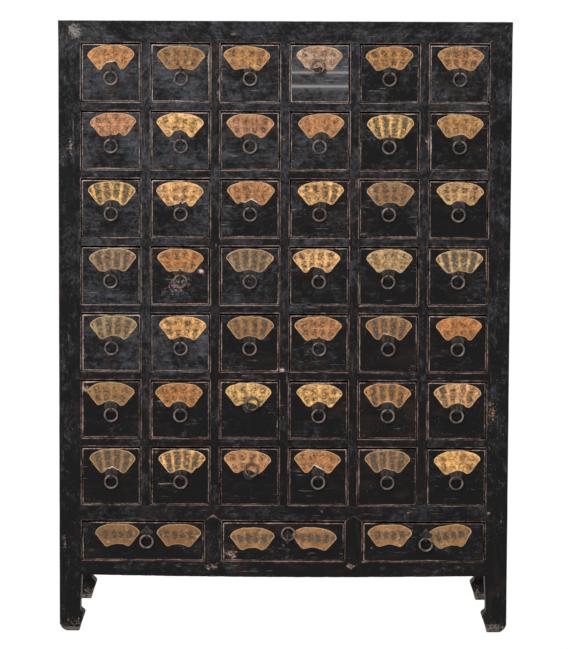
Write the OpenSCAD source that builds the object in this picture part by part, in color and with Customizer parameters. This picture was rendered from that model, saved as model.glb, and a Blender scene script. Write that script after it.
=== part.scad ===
// Apothecary cabinet: a lacquered post-and-rail case with seven rows of six
// small drawers over one row of three wide drawers. Millimetres, +Z up. The
// front faces -Y, the floor is z = 0 and x = 0 is the middle of the case.

/* [Case] */
// Width across the corner posts
case_w = 1200; // [1160:5:1300]
// Depth from the front face of the posts to their back face
case_d = 545; // [500:5:600]
// Side of a square corner post
post_w = 60; // [54:1:66]
// Radius of the long outer corner of a post
post_round = 8; // [2:1:12]
// Clear height under the bottom rail
leg_clear = 155; // [110:5:180]
// Height of the top rails
top_rail_h = 58; // [50:1:66]
// Height of the rail between the small and the wide drawers
middle_rail_h = 43; // [40:1:60]
// Height of the rail under the wide drawers
bottom_rail_h = 39; // [34:1:50]
// How far the underside of the bottom rail has sagged at its middle
bottom_rail_sag = 5; // [1:1:8]
// Thickness of the rails and stiles from front to back
rail_t = 32; // [26:1:40]
// Thickness of the side, back and top panels
panel_t = 12; // [8:1:16]

/* [Hoof feet] */
// Height of the widest point of the hoof
hoof_h = 46; // [36:1:50]
// Width of the hoof at its widest point
hoof_w = 66; // [62:1:72]
// Width of the hoof on the floor, from the outer face of the leg
hoof_floor_w = 52; // [44:1:56]
// Width of the leg just above the hoof
neck_w = 56; // [50:1:59]
// Size of the worn chamfer at the outer foot of the leg
foot_chamfer = 15; // [8:1:20]

/* [Small drawers] */
// Width of a small drawer opening
small_w = 158; // [150:1:162]
// Height of a small drawer opening
small_h = 156; // [140:1:170]
// Height of the short rail between two small drawers
short_rail_h = 23; // [20:1:30]
// Gap beside and between a drawer front and its opening
side_gap = 2.5; // [1.5:0.5:4]
// Gap over a drawer front, which has dropped as its runners wore
top_gap = 5; // [3:0.5:8]

/* [Wide drawers] */
// Width of the two stiles between the wide drawers
wide_stile_w = 48; // [40:1:60]
// Height of a wide drawer opening
wide_h = 108; // [96:1:120]

/* [Drawer boxes] */
// Length of a drawer from its front face to its back
drawer_l = 462; // [380:2:464]
// How far a drawer front sits behind the face of the case
front_recess = 1.5; // [0.5:0.5:4]
// Thickness of a drawer front
front_t = 18; // [14:1:24]
// Thickness of the drawer sides and back
box_t = 9; // [6:1:12]
// Thickness of the drawer bottom
bottom_t = 6; // [4:1:8]

/* [Ring pulls] */
// Outer diameter of a ring
ring_d = 39; // [36:1:42]
// Diameter of the ring's wire
wire_d = 5.5; // [4:0.5:6]
// Diameter of the round back plate on a small drawer
plate_d = 36; // [30:1:38]
// Thickness of a back plate
plate_t = 2; // [1:0.5:2.5]
// Height of the staple's eye
eye_h = 21; // [19:1:24]
// How far the eye stands out from the back plate
eye_d = 11; // [10.5:0.5:12]
// Width of the staple's strap
eye_w = 5; // [4:0.5:6]

/* [Hidden] */
columns = 6;
rows = 7;
wides = 3;

// Small clearances that keep glued pieces separate and moving pieces free.
glue = 0.1;
runner_gap = 1;
pin_gap = 0.2;

// Across the case.
inner_w = case_w - 2 * post_w;
stile_w = (inner_w - columns * small_w) / (columns - 1);
small_pitch = small_w + stile_w;
wide_w = (inner_w - (wides - 1) * wide_stile_w) / wides;
wide_pitch = wide_w + wide_stile_w;

// Up the case.
row_pitch = small_h + short_rail_h;
wide_z = leg_clear + bottom_rail_h;
middle_rail_z = wide_z + wide_h;
small_z = middle_rail_z + middle_rail_h;
top_rail_z = small_z + rows * row_pitch - short_rail_h;
case_h = top_rail_z + top_rail_h;

// Front to back. The staples stand in front of the case, and the whole
// object, staples included, is centred on y = 0.
eye_reach = plate_t + 2 * glue + eye_d;
proud = eye_reach - front_recess;
front_y = (proud - case_d) / 2;
back_y = front_y + case_d;
face_y = front_y + front_recess;
back_stile_t = 22;
back_rail_inset = 13;
back_panel_set = 6;
back_frame_y = back_y - back_rail_inset - rail_t;
runner_back_y = back_frame_y - back_stile_t;

// Pointed shoulders where the long rails and the wide stiles are let in.
shoulder_t = 12;
shoulder_l = 18;

// Side rails and panels are let in from the outer faces of the posts, and the
// top panel from the top of its rails.
side_rail_inset = 4;
panel_inset = 14;
top_panel_drop = 8;
batten_w = 45;
batten_t = 20;

// Bottom boards, laid a little over the underside of the rails.
bottom_board_lift = 4;
bottom_board_t = 10;
board_gap = 1;

// Runners and guides under and beside the drawers.
runner_h = 18;
guide_h = 25;
runner_lap = 16;
guide_play = 2.2;
side_wall = case_w / 2 - side_rail_inset - rail_t - board_gap;

// Drawer boxes: how far the sides and the back stop short of the front's
// height, and the groove that the bottom sits in.
side_drop = 8;
back_drop = 9;
groove_z = 3;

// Ring pulls.
strap_t = 2;
pull_lift = 7.25;
eye_slot_r = eye_d / 2 - strap_t;
ring_r = (ring_d - wire_d) / 2;
pivot_depth = plate_t + 2 * glue + eye_d / 2;
ring_up = 186;
small_pull_drop = 72.25;

// The wide drawers' pulls were set by eye: how far each pivot is to the right
// of the middle of its drawer, and under the top of its drawer front.
wide_pull_shifts = [10, 11, 6];
wide_pull_drops = [34, 45, 39];
leg_of_pin_h = 4;
clench_h = 26;
plate_bevel = 2;
lozenge_w = 38;
lozenge_h = 40;
lean_lift = 1;

black = [0.09, 0.09, 0.1];
worn_black = [0.14, 0.13, 0.13];
bare_wood = [0.45, 0.33, 0.22];
dark_wood = [0.3, 0.22, 0.15];
iron = [0.3, 0.27, 0.25];

function small_name(r, c) = str("drawer_row", r, "_col", c);
function wide_name(i) = str("wide_drawer_", i);
function ring_name(i) = str("wide_ring_", i);

// Left edge of a small opening and of a wide opening, and the floor of a row.
function small_x(c) = -inner_w / 2 + (c - 1) * small_pitch;
function wide_x(i) = -inner_w / 2 + (i - 1) * wide_pitch;
function row_z(r) = small_z + (rows - r) * row_pitch;

// Pivot of a wide drawer's ring, from the lower left corner of its opening.
function wide_pull_x(i) = wide_w / 2 + wide_pull_shifts[i - 1];
function wide_pull_z(i) = wide_h - top_gap - wide_pull_drops[i - 1];

// Three small rings have been left flipped up and askew: swing, then lean.
function ring_pose(r, c) =
    r == 1 && c == 4 ? [ring_up, 24] :
    r == 6 && c == 3 ? [ring_up, -30] :
    r == 7 && c == 3 ? [ring_up, -22] :
    [0, 0];

// A box from its lowest corner to its highest corner.
module block(low, high) {
    translate(low) cube(high - low);
}

// Repeats its children on the left and, mirrored, on the right.
module both_sides() {
    children();
    mirror([1, 0, 0]) children();
}

// Mirrors its children from the front of the case to its back.
module at_back() {
    translate([0, front_y + back_y, 0]) mirror([0, 1, 0]) children();
}

// ---------- corner posts ----------

// Outline of a post seen square on: u runs in from its outer face, v up. The
// top is cut to a mitre, and the foot is a hoof that turns in.
module post_outline() {
    swell = 4;
    brow = 2;
    ankle_h = 5;
    neck_h = 12;
    polygon([
        [foot_chamfer, 0],
        [hoof_floor_w, 0],
        [hoof_floor_w + swell, hoof_h * 0.35],
        [hoof_w - brow, hoof_h * 0.78],
        [hoof_w, hoof_h],
        [hoof_w - brow, hoof_h + ankle_h],
        [neck_w, hoof_h + neck_h],
        [post_w, leg_clear],
        [post_w, top_rail_z],
        [0, case_h],
        [0, foot_chamfer * 1.4]
    ]);
}

// Section of a post with its outer corner rounded, at the widest size.
module post_section() {
    translate([post_round, 0]) square([hoof_w - post_round, hoof_w]);
    translate([0, post_round]) square([hoof_w, hoof_w - post_round]);
    translate([post_round, post_round]) circle(post_round, $fn = 48);
}

// The left front post, with its outer corner at x = 0, y = 0.
module plain_post() {
    intersection() {
        linear_extrude(case_h) post_section();
        translate([0, hoof_w, 0]) rotate([90, 0, 0]) linear_extrude(hoof_w) post_outline();
        mirror([1, -1, 0])
            translate([0, hoof_w, 0]) rotate([90, 0, 0]) linear_extrude(hoof_w) post_outline();
    }
}

// The pointed end of a rail, h high, whose tip is at u = -shoulder_l.
module rail_point(h) {
    rotate([90, 0, 0]) mirror([0, 0, 1]) linear_extrude(shoulder_t)
        polygon([[0, 0], [0, h], [-shoulder_l, h / 2]]);
}

module front_posts() {
    color(black) both_sides()
        translate([-case_w / 2, front_y, 0]) difference() {
            plain_post();
            translate([post_w, 0, leg_clear]) rail_point(bottom_rail_h);
            translate([post_w, 0, middle_rail_z]) rail_point(middle_rail_h);
        }
}

module back_posts() {
    color(black) both_sides() at_back() translate([-case_w / 2, front_y, 0]) plain_post();
}

// ---------- rails ----------

// A top rail along the front: each end is mitred to the post below it and to
// the side rail beside it.
module mitred_front_rail() {
    difference() {
        block([-case_w / 2, front_y, top_rail_z], [case_w / 2, front_y + post_w, case_h]);
        both_sides() {
            translate([-case_w / 2, front_y, 0]) rotate([90, 0, 0])
                linear_extrude(3 * post_w, center = true)
                    polygon([[-1, case_h + 1], [0, case_h], [post_w, top_rail_z],
                             [post_w, top_rail_z - 1], [-1, top_rail_z - 1]]);
            translate([-case_w / 2, front_y, top_rail_z - 1]) linear_extrude(top_rail_h + 2)
                polygon([[-1, -1], [0, 0], [post_w, post_w], [post_w, post_w + 1],
                         [-1, post_w + 1]]);
        }
    }
}

// A top rail along the left side, mitred in the same way.
module mitred_side_rail() {
    difference() {
        block([-case_w / 2, front_y, top_rail_z], [-case_w / 2 + post_w, back_y, case_h]);
        for (end = [0, 1]) translate([0, end * (front_y + back_y), 0]) mirror([0, end, 0]) {
            translate([-case_w / 2, front_y, 0]) rotate([90, 0, 90])
                linear_extrude(3 * post_w, center = true)
                    polygon([[-1, case_h + 1], [0, case_h], [post_w, top_rail_z],
                             [post_w, top_rail_z - 1], [-1, top_rail_z - 1]]);
            translate([-case_w / 2, front_y, top_rail_z - 1]) linear_extrude(top_rail_h + 2)
                polygon([[-1, -1], [0, 0], [post_w, post_w], [post_w + 1, post_w],
                         [post_w + 1, -1]]);
        }
    }
}

// The underside of the bottom rail, as a shallow arc of equal steps.
function sag_points(n) = [for (i = [0 : n])
    let (t = 2 * i / n - 1) [t * inner_w / 2, leg_clear - bottom_rail_sag * (1 - t * t)]];

// A slot in a rail for the pointed end of a wide stile, its tip upwards.
module stile_point(w) {
    rotate([90, 0, 0]) mirror([0, 0, 1]) linear_extrude(shoulder_t)
        polygon([[-w / 2, 0], [w / 2, 0], [0, shoulder_l]]);
}

module middle_rail() {
    difference() {
        union() {
            block([-inner_w / 2, front_y, middle_rail_z], [inner_w / 2, front_y + rail_t, small_z]);
            both_sides() translate([-inner_w / 2, front_y, middle_rail_z])
                rail_point(middle_rail_h);
        }
        for (i = [1 : wides - 1])
            translate([wide_x(i + 1) - wide_stile_w / 2, front_y, middle_rail_z])
                stile_point(wide_stile_w);
    }
}

module bottom_rail() {
    difference() {
        union() {
            translate([0, front_y + rail_t, 0]) rotate([90, 0, 0]) linear_extrude(rail_t)
                polygon(concat([[inner_w / 2, wide_z], [-inner_w / 2, wide_z]], sag_points(16)));
            both_sides() translate([-inner_w / 2, front_y, leg_clear])
                rail_point(bottom_rail_h);
        }
        for (i = [1 : wides - 1])
            translate([wide_x(i + 1) - wide_stile_w / 2, front_y, wide_z])
                mirror([0, 0, 1]) stile_point(wide_stile_w);
    }
}

module front_rails() {
    color(black) {
        mitred_front_rail();
        middle_rail();
        bottom_rail();
    }
}

// One plain side rail between the posts of the left side.
module plain_side_rail(z, h) {
    x = -case_w / 2 + side_rail_inset;
    block([x, front_y + post_w, z], [x + rail_t, back_y - post_w, z + h]);
}

module side_rails() {
    color(black) both_sides() {
        mitred_side_rail();
        plain_side_rail(leg_clear, bottom_rail_h);
        plain_side_rail(middle_rail_z, middle_rail_h);
    }
}

// Back rails, and the inner stiles that carry the back ends of the runners.
module back_frame() {
    color(dark_wood) {
        at_back() mitred_front_rail();
        for (z = [leg_clear, middle_rail_z])
            block([-inner_w / 2, back_frame_y, z],
                  [inner_w / 2, back_frame_y + rail_t, z + bottom_rail_h]);
        for (c = [2 : columns])
            translate([small_x(c) - stile_w / 2, 0, 0])
                block([-stile_w / 2, runner_back_y, leg_clear],
                      [stile_w / 2, back_frame_y - glue, top_rail_z - glue]);
    }
}

// ---------- front dividers ----------

module front_stiles() {
    color(black) {
        for (c = [2 : columns])
            block([small_x(c) - stile_w, front_y, small_z],
                  [small_x(c), front_y + rail_t, top_rail_z]);
        for (i = [2 : wides]) translate([wide_x(i) - wide_stile_w / 2, 0, 0]) {
            block([-wide_stile_w / 2, front_y, wide_z],
                  [wide_stile_w / 2, front_y + rail_t, middle_rail_z]);
            translate([0, front_y, middle_rail_z]) stile_point(wide_stile_w);
            translate([0, front_y, wide_z]) mirror([0, 0, 1]) stile_point(wide_stile_w);
        }
    }
}

module short_rails() {
    color(worn_black)
        for (r = [1 : rows - 1], c = [1 : columns])
            block([small_x(c), front_y, row_z(r) - short_rail_h],
                  [small_x(c) + small_w, front_y + rail_t, row_z(r)]);
}

// ---------- panels ----------

// The top panel floats inside the top rails and hangs from three battens.
module top_panel() {
    panel_z = case_h - top_panel_drop - panel_t;
    color(black)
        block([-inner_w / 2, front_y + post_w, panel_z],
              [inner_w / 2, back_y - post_w, panel_z + panel_t]);
    color(bare_wood) for (i = [-1 : 1])
        translate([i * inner_w / 3, 0, 0])
            block([-batten_w / 2, front_y + post_w, panel_z - glue - batten_t],
                  [batten_w / 2, back_y - post_w, panel_z - glue]);
}

module side_panels() {
    color(black) both_sides() for (span = [[wide_z, middle_rail_z], [small_z, top_rail_z]])
        block([-case_w / 2 + panel_inset, front_y + post_w, span[0]],
              [-case_w / 2 + panel_inset + panel_t, back_y - post_w, span[1]]);
}

// Upper and lower back boards, each in three widths that meet on a stile line.
module back_panels() {
    third = inner_w / 3;
    y = back_frame_y + rail_t - panel_t - back_panel_set;
    color(dark_wood)
        for (i = [0 : 2], span = [[wide_z, middle_rail_z],
                                  [middle_rail_z + bottom_rail_h, top_rail_z]])
            block([-inner_w / 2 + i * third + glue, y, span[0]],
                  [-inner_w / 2 + (i + 1) * third - glue, y + panel_t, span[1]]);
}

// Bottom boards laid front to back. The two at the ends stop at the posts.
module bottom_boards() {
    boards = 5;
    gap = board_gap;
    z0 = leg_clear + bottom_board_lift;
    z1 = z0 + bottom_board_t;
    edge = inner_w / 2 - gap;
    width = 2 * edge / boards;
    y1 = runner_back_y - gap;
    color(bare_wood) {
        for (i = [0 : boards - 1])
            block([-edge + i * width + gap / 2, front_y + rail_t + gap, z0],
                  [-edge + (i + 1) * width - gap / 2, y1, z1]);
        both_sides()
            block([-side_wall, front_y + post_w + gap, z0], [-edge - gap / 2, y1, z1]);
    }
}

// ---------- runners and guides ----------

// A runner from x0 to x1 whose top is at z, and the guide that stands on it
// between the drawers from g0 to g1.
module runner(x0, x1, g0, g1, z) {
    y0 = front_y + post_w + glue;
    y1 = runner_back_y - glue;
    block([x0, y0, z - runner_h], [x1, y1, z]);
    block([g0, y0, z + glue], [g1, y1, z + guide_h]);
}

// Runners for one row of openings: count openings of width w and pitch p.
module runner_row(count, w, p, z) {
    half = (p - w) / 2;
    edge = inner_w / 2;
    both_sides() runner(-side_wall, -edge + runner_lap, -side_wall, -edge - glue, z);
    for (i = [1 : count - 1])
        translate([-edge + i * p - half, 0, 0])
            runner(-half - runner_lap, half + runner_lap,
                   -half - side_gap + guide_play, half + side_gap - guide_play, z);
}

module drawer_runners() {
    color(bare_wood) {
        for (r = [1 : rows]) runner_row(columns, small_w, small_pitch, row_z(r));
        runner_row(wides, wide_w, wide_pitch, wide_z);
    }
}

// ---------- ring pulls ----------

// Section of the eye in the plane across the ring: a tall ring of flat strap
// with round ends, r to its outer face and h high. It stands at u = 0.
module eye_section(r, h) {
    for (s = [-1, 1]) translate([0, s * (h / 2 - r)]) circle(r, $fn = 48);
    square([2 * r, h - 2 * r], center = true);
}

// Split-pin staple: the eye in front of the plate, its shank through the
// front, and its two ends bent over flat inside. The pivot is the origin.
module staple() {
    lift = eye_h / 2 - eye_d / 2;
    shank_y = front_t + pivot_depth;
    color(iron) {
        translate([-eye_w / 2, 0, lift]) rotate([90, 0, 90]) linear_extrude(eye_w)
            difference() {
                eye_section(eye_d / 2, eye_h);
                eye_section(eye_slot_r, eye_h - 2 * strap_t);
            }
        block([-eye_w / 2, eye_d / 2 - 1, pull_lift - leg_of_pin_h / 2],
              [eye_w / 2, shank_y + strap_t + glue, pull_lift + leg_of_pin_h / 2]);
        block([-eye_w / 2, shank_y + glue, pull_lift - clench_h / 2],
              [eye_w / 2, shank_y + glue + strap_t, pull_lift + clench_h / 2]);
    }
}

// The slot that the shank goes through in a plate or a drawer front.
module shank_slot() {
    translate([0, 0, pull_lift])
        cube([eye_w + 2 * pin_gap, 4 * front_t, leg_of_pin_h + 2 * pin_gap], center = true);
}

// A ring hung from the pivot, swung out and up by swing, then leaning in its
// own plane by lean. A ring that leans rides a little higher in the eye.
module ring_pull(swing, lean) {
    color(iron) translate([0, 0, lean == 0 ? 0 : lean_lift])
        rotate([-swing, 0, 0]) rotate([0, lean, 0]) translate([0, 0, -ring_r])
            rotate([90, 0, 0]) rotate_extrude($fn = 64)
                translate([ring_r, 0]) circle(wire_d / 2, $fn = 24);
}

module round_plate() {
    color(iron) difference() {
        translate([0, pivot_depth - glue, pull_lift]) rotate([90, 0, 0])
            cylinder(h = plate_t, d1 = plate_d, d2 = plate_d - 2 * plate_bevel, $fn = 64);
        shank_slot();
    }
}

module lozenge_plate() {
    half_w = lozenge_w / 2;
    half_h = lozenge_h / 2;
    color(iron) difference() {
        translate([0, pivot_depth - glue, pull_lift]) rotate([90, 0, 0]) linear_extrude(plate_t)
            polygon([[-half_w, 0], [0, -half_h], [half_w, 0], [0, half_h]]);
        shank_slot();
    }
}

// ---------- drawers ----------

// A drawer of separate boards for an opening w by h, with its lower left
// front corner at the origin. The front has a slot for the pull's shank.
module drawer_boards(w, h, pull_x, pull_z) {
    fw = w - 2 * side_gap;
    fh = h - top_gap - runner_gap;
    side_h = fh - side_drop;
    color(black) difference() {
        translate([side_gap, 0, runner_gap]) cube([fw, front_t, fh]);
        translate([pull_x, 0, pull_z]) shank_slot();
    }
    color(bare_wood) translate([side_gap, front_t + glue, runner_gap]) {
        run = drawer_l - front_t - glue;
        for (x = [0, fw - box_t]) translate([x, 0, 0]) cube([box_t, run, side_h]);
        translate([box_t + glue, 0, groove_z]) cube([fw - 2 * box_t - 2 * glue, run, bottom_t]);
        translate([box_t + glue, run - box_t, groove_z + bottom_t + glue])
            cube([fw - 2 * box_t - 2 * glue, box_t, side_h - groove_z - back_drop - bottom_t]);
    }
}

module small_drawer(r, c) {
    pull_z = small_h - top_gap - small_pull_drop;
    pose = ring_pose(r, c);
    translate([small_x(c), face_y, row_z(r)]) {
        drawer_boards(small_w, small_h, small_w / 2, pull_z);
        translate([small_w / 2, -pivot_depth, pull_z]) {
            round_plate();
            staple();
            ring_pull(pose[0], pose[1]);
        }
    }
}

module wide_drawer(i) {
    translate([wide_x(i), face_y, wide_z]) {
        drawer_boards(wide_w, wide_h, wide_pull_x(i), wide_pull_z(i));
        translate([wide_pull_x(i), -pivot_depth, wide_pull_z(i)]) {
            lozenge_plate();
            staple();
        }
    }
}

// The ring of a wide drawer swings on its own. The middle one is flipped up.
module wide_ring(i) {
    translate([wide_x(i) + wide_pull_x(i), face_y - pivot_depth, wide_z + wide_pull_z(i)])
        ring_pull(i == 2 ? ring_up : 0, 0);
}

front_posts();
back_posts();
front_rails();
side_rails();
back_frame();
top_panel();
front_stiles();
short_rails();
side_panels();
back_panels();
drawer_runners();
bottom_boards();
for (r = [1 : rows], c = [1 : columns])
    small_drawer(r, c);
for (i = [1 : wides])
    wide_drawer(i);
for (i = [1 : wides])
    wide_ring(i);
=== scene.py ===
import math
import random

import bpy
import numpy as np
from mathutils import Matrix, Vector


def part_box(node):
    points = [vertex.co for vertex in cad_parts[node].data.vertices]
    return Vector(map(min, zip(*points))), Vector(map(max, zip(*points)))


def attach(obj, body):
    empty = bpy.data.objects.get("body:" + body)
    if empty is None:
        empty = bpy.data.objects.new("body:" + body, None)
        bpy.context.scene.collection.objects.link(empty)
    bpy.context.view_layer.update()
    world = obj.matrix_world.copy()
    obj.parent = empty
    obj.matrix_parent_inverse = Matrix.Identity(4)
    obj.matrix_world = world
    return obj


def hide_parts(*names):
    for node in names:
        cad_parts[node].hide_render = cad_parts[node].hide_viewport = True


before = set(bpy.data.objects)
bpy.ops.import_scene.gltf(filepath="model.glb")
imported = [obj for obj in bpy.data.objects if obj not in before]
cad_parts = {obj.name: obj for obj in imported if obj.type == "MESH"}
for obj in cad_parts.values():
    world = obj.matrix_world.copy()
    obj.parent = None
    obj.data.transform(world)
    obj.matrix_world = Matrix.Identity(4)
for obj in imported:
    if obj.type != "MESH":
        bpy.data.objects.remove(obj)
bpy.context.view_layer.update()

# ---------- sizes, in millimetres, as in the CAD ----------
CASE_W, CASE_D, POST_W, POST_ROUND = 1200.0, 545.0, 60.0, 8.0
LEG_CLEAR, TOP_RAIL_H, MIDDLE_RAIL_H, BOTTOM_RAIL_H = 155.0, 58.0, 43.0, 39.0
RAIL_SAG, RAIL_T, PANEL_T, PANEL_INSET = 5.0, 32.0, 12.0, 14.0
SMALL_W, SMALL_H, SHORT_RAIL_H = 158.0, 156.0, 23.0
SIDE_GAP, TOP_GAP, RUNNER_GAP = 2.5, 5.0, 1.0
WIDE_STILE_W, WIDE_H = 48.0, 108.0
DRAWER_L, FRONT_T, BOX_T, BOTTOM_T, GLUE = 462.0, 18.0, 9.0, 6.0, 0.1
RING_D, WIRE_D, PLATE_D, PLATE_T = 39.0, 5.5, 36.0, 2.0
EYE_H, EYE_D, EYE_W, STRAP_T = 21.0, 11.0, 5.0, 2.0
PULL_LIFT, SMALL_DROP = 7.25, 72.25
WIDE_PULLS = {1: (10.0, 34.0), 2: (11.0, 45.0), 3: (6.0, 39.0)}
SHOULDER_L = 18.0
SIDE_RAIL_INSET, TOP_PANEL_DROP, BATTEN_W, BATTEN_T = 4.0, 8.0, 45.0, 20.0
BACK_RAIL_INSET, BACK_STILE_T, BACK_PANEL_SET = 13.0, 22.0, 6.0
SIDE_DROP, BACK_DROP, GROOVE_Z = 8.0, 9.0, 3.0
COLUMNS, ROWS, WIDES = 6, 7, 3

INNER_W = CASE_W - 2 * POST_W
EDGE_X = INNER_W / 2
STILE_W = (INNER_W - COLUMNS * SMALL_W) / (COLUMNS - 1)
PITCH = SMALL_W + STILE_W
WIDE_W = (INNER_W - (WIDES - 1) * WIDE_STILE_W) / WIDES
WIDE_PITCH = WIDE_W + WIDE_STILE_W
ROW_PITCH = SMALL_H + SHORT_RAIL_H
WIDE_Z = LEG_CLEAR + BOTTOM_RAIL_H
MIDDLE_Z = WIDE_Z + WIDE_H
SMALL_Z = MIDDLE_Z + MIDDLE_RAIL_H
TOP_Z = SMALL_Z + ROWS * ROW_PITCH - SHORT_RAIL_H
CASE_H = TOP_Z + TOP_RAIL_H
PIVOT_DEPTH = PLATE_T + 2 * GLUE + EYE_D / 2
FRONT_RECESS = 1.5
posts_low, posts_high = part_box("front_posts")
FRONT_Y = posts_low.y * 1000
BACK_Y = FRONT_Y + CASE_D
FACE_Y = FRONT_Y + FRONT_RECESS
BACK_FRAME_Y = BACK_Y - BACK_RAIL_INSET - RAIL_T
RUNNER_BACK_Y = BACK_FRAME_Y - BACK_STILE_T
MM = 0.001


def small_x(c):
    return -EDGE_X + (c - 1) * PITCH


def wide_x(i):
    return -EDGE_X + (i - 1) * WIDE_PITCH


def row_z(r):
    return SMALL_Z + (ROWS - r) * ROW_PITCH


# ---------- materials ----------
class Shader:
    """Builds the nodes of one material. Each method gives back an output socket."""

    def __init__(self, name):
        self.material = bpy.data.materials.new(name)
        self.material.use_nodes = True
        self.tree = self.material.node_tree
        self.tree.nodes.clear()

    def add(self, kind, inputs, **settings):
        node = self.tree.nodes.new(kind)
        for key, value in settings.items():
            setattr(node, key, value)
        for key, value in inputs.items():
            if isinstance(value, bpy.types.NodeSocket):
                self.tree.links.new(value, node.inputs[key])
            else:
                node.inputs[key].default_value = value
        return node

    def attribute(self, name, output="Fac"):
        return self.add("ShaderNodeAttribute", {}, attribute_name=name).outputs[output]

    def math(self, operation, a, b=0.0, clamp=False):
        node = self.add("ShaderNodeMath", {0: a, 1: b}, operation=operation, use_clamp=clamp)
        return node.outputs[0]

    def total(self, *terms):
        value = terms[0]
        for term in terms[1:]:
            value = self.math("ADD", value, term)
        return value

    def times(self, a, b):
        return self.math("MULTIPLY", a, b)

    def stretch(self, vector, factors, shift=(0.0, 0.0, 0.0)):
        node = self.add("ShaderNodeVectorMath", {0: vector, 1: factors, 2: shift}, operation="MULTIPLY_ADD")
        return node.outputs[0]

    def noise(self, vector, scale, detail=4.0, rough=0.55, distortion=0.0):
        inputs = {"Vector": vector, "Scale": scale, "Detail": detail, "Roughness": rough,
                  "Distortion": distortion}
        return self.add("ShaderNodeTexNoise", inputs).outputs["Fac"]

    def span(self, value, low, high, out_low=0.0, out_high=1.0):
        inputs = {"Value": value, "From Min": low, "From Max": high, "To Min": out_low, "To Max": out_high}
        return self.add("ShaderNodeMapRange", inputs, interpolation_type="SMOOTHSTEP").outputs[0]

    def blend(self, amount, a, b):
        node = self.add("ShaderNodeMix", {}, data_type="RGBA", blend_type="MIX")
        for index, value in ((0, amount), (6, a), (7, b)):
            if isinstance(value, bpy.types.NodeSocket):
                self.tree.links.new(value, node.inputs[index])
            else:
                node.inputs[index].default_value = value if index == 0 else (*value, 1.0)
        return node.outputs[2]

    def finish(self, colour, roughness, height, depth, **constants):
        """Ends the material with a principled surface whose bump is depth metres for a height of 1."""
        bump = self.add("ShaderNodeBump", {"Strength": 1.0, "Distance": depth, "Height": height})
        inputs = {"Base Color": colour, "Roughness": roughness, "Normal": bump.outputs[0]}
        inputs.update({key.replace("_", " "): value for key, value in constants.items()})
        surface = self.add("ShaderNodeBsdfPrincipled", inputs)
        self.add("ShaderNodeOutputMaterial", {"Surface": surface.outputs[0]})
        return self.material


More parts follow.
